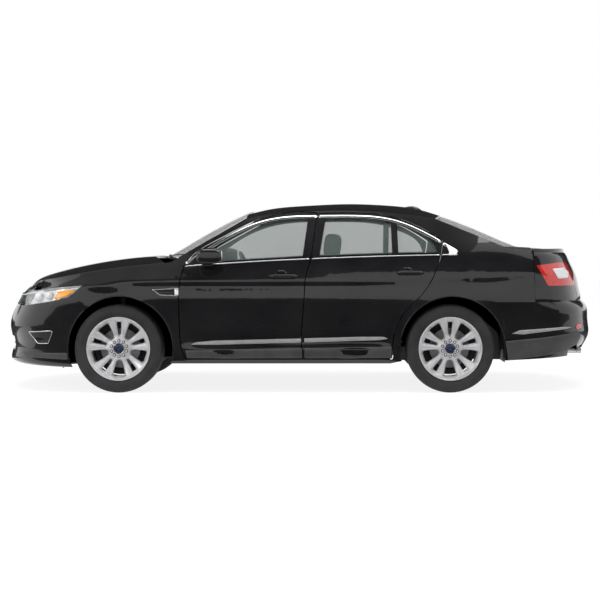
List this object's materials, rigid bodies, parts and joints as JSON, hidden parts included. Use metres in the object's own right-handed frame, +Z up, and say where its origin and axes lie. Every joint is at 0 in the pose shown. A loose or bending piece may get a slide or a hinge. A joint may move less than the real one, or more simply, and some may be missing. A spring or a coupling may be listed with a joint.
{
  "type": "sedan",
  "caption": "Full-size sedan with panelled body, opening doors, hood and trunk lid, alloy wheels that turn and front wheels that steer.",
  "frame": {"origin": "on the ground, under the middle of the car's bounding box", "axes": "-X towards the nose, -Y towards the car's left side, +Z up"},
  "size_m": [5.0539, 2.164, 1.5816],
  "materials": {
    "body_paint": "gloss",
    "window_glass": "gloss",
    "lamp_glass": "gloss",
    "tail_lamp_lens": "gloss",
    "grille_chrome": "polished",
    "black_trim": "satin",
    "inner_metal": "satin",
    "cabin_trim": "matte",
    "seat_leather": "satin",
    "engine_metal": "cast",
    "chassis_iron": "painted",
    "exhaust_steel": "brushed",
    "wheel_alloy": "bright",
    "tyre_rubber": "matte"
  },
  "bodies": {
    "body": {"windscreen": "window_glass", "rear_window": "window_glass", "roof_panel": "body_paint", "front_pillars": "body_paint", "middle_pillars": "inner_metal", "front_wings": "body_paint", "headlamps": "lamp_glass", "front_bumper": "body_paint", "grilles": "grille_chrome", "tail_lamps": "tail_lamp_lens", "quarter_panels": "body_paint", "rear_bumper": "body_paint", "sills": "body_paint", "floor_pan": "inner_metal", "rear_structure": "inner_metal", "front_structure": "inner_metal", "cowl": "black_trim", "dashboard": "cabin_trim", "steering_wheel": "cabin_trim", "front_seats": "seat_leather", "rear_seat": "seat_leather", "engine_block": "engine_metal", "radiator": "engine_metal", "front_subframe": "chassis_iron", "rear_subframe": "chassis_iron", "wheel_liners": "black_trim", "fuel_tank": "black_trim", "exhaust": "exhaust_steel"},
    "front_door_left_body": {"front_door_left": "body_paint", "front_door_glass_left": "window_glass", "mirror_left": "body_paint"},
    "rear_door_left_body": {"rear_door_left": "body_paint", "rear_door_glass_left": "window_glass"},
    "steering_left": {"knuckle_left": "chassis_iron"},
    "front_wheel_left": {"wheel_front_left": "wheel_alloy", "tyre_front_left": "tyre_rubber"},
    "rear_wheel_left": {"wheel_rear_left": "wheel_alloy", "tyre_rear_left": "tyre_rubber"},
    "front_door_right_body": {"front_door_right": "body_paint", "front_door_glass_right": "window_glass", "mirror_right": "body_paint"},
    "rear_door_right_body": {"rear_door_right": "body_paint", "rear_door_glass_right": "window_glass"},
    "steering_right": {"knuckle_right": "chassis_iron"},
    "front_wheel_right": {"wheel_front_right": "wheel_alloy", "tyre_front_right": "tyre_rubber"},
    "rear_wheel_right": {"wheel_rear_right": "wheel_alloy", "tyre_rear_right": "tyre_rubber"},
    "hood_body": {"hood": "body_paint"},
    "trunk_lid_body": {"trunk_lid": "body_paint"}
  },
  "joints": [
    {"name": "front_door_left_hinge", "type": "hinge", "parent": "body", "child": "front_door_left_body", "pos_m": [-0.89, -0.93053, 0.69], "axis": [0, 0, -1], "range_deg": [0, 65]},
    {"name": "rear_door_left_hinge", "type": "hinge", "parent": "body", "child": "rear_door_left_body", "pos_m": [0.162, -0.93075, 0.69], "axis": [0, 0, -1], "range_deg": [0, 65]},
    {"name": "steer_left", "type": "hinge", "parent": "body", "child": "steering_left", "pos_m": [-1.479, -0.65, 0.364], "axis": [0, 0, 1], "range_deg": [-35, 35]},
    {"name": "front_wheel_left_spin", "type": "hinge", "parent": "steering_left", "child": "front_wheel_left", "pos_m": [-1.479, -0.8125, 0.364], "axis": [0, 1, 0], "continuous": true},
    {"name": "rear_wheel_left_spin", "type": "hinge", "parent": "body", "child": "rear_wheel_left", "pos_m": [1.253, -0.8125, 0.364], "axis": [0, 1, 0], "continuous": true},
    {"name": "front_door_right_hinge", "type": "hinge", "parent": "body", "child": "front_door_right_body", "pos_m": [-0.89, 0.93053, 0.69], "axis": [0, 0, 1], "range_deg": [0, 65]},
    {"name": "rear_door_right_hinge", "type": "hinge", "parent": "body", "child": "rear_door_right_body", "pos_m": [0.162, 0.93075, 0.69], "axis": [0, 0, 1], "range_deg": [0, 65]},
    {"name": "steer_right", "type": "hinge", "parent": "body", "child": "steering_right", "pos_m": [-1.479, 0.65, 0.364], "axis": [0, 0, 1], "range_deg": [-35, 35]},
    {"name": "front_wheel_right_spin", "type": "hinge", "parent": "steering_right", "child": "front_wheel_right", "pos_m": [-1.479, 0.8125, 0.364], "axis": [0, 1, 0], "continuous": true},
    {"name": "rear_wheel_right_spin", "type": "hinge", "parent": "body", "child": "rear_wheel_right", "pos_m": [1.253, 0.8125, 0.364], "axis": [0, 1, 0], "continuous": true},
    {"name": "hood_hinge", "type": "hinge", "parent": "body", "child": "hood_body", "pos_m": [-1.11, 0, 1.01], "axis": [0, 1, 0], "range_deg": [0, 45]},
    {"name": "trunk_lid_hinge", "type": "hinge", "parent": "body", "child": "trunk_lid_body", "pos_m": [1.976, 0, 1.18618], "axis": [0, -1, 0], "range_deg": [0, 70]}
  ],
  "couplings": [
    {"joint": "steer_right", "follows": "steer_left", "ratio": 1}
  ]
}
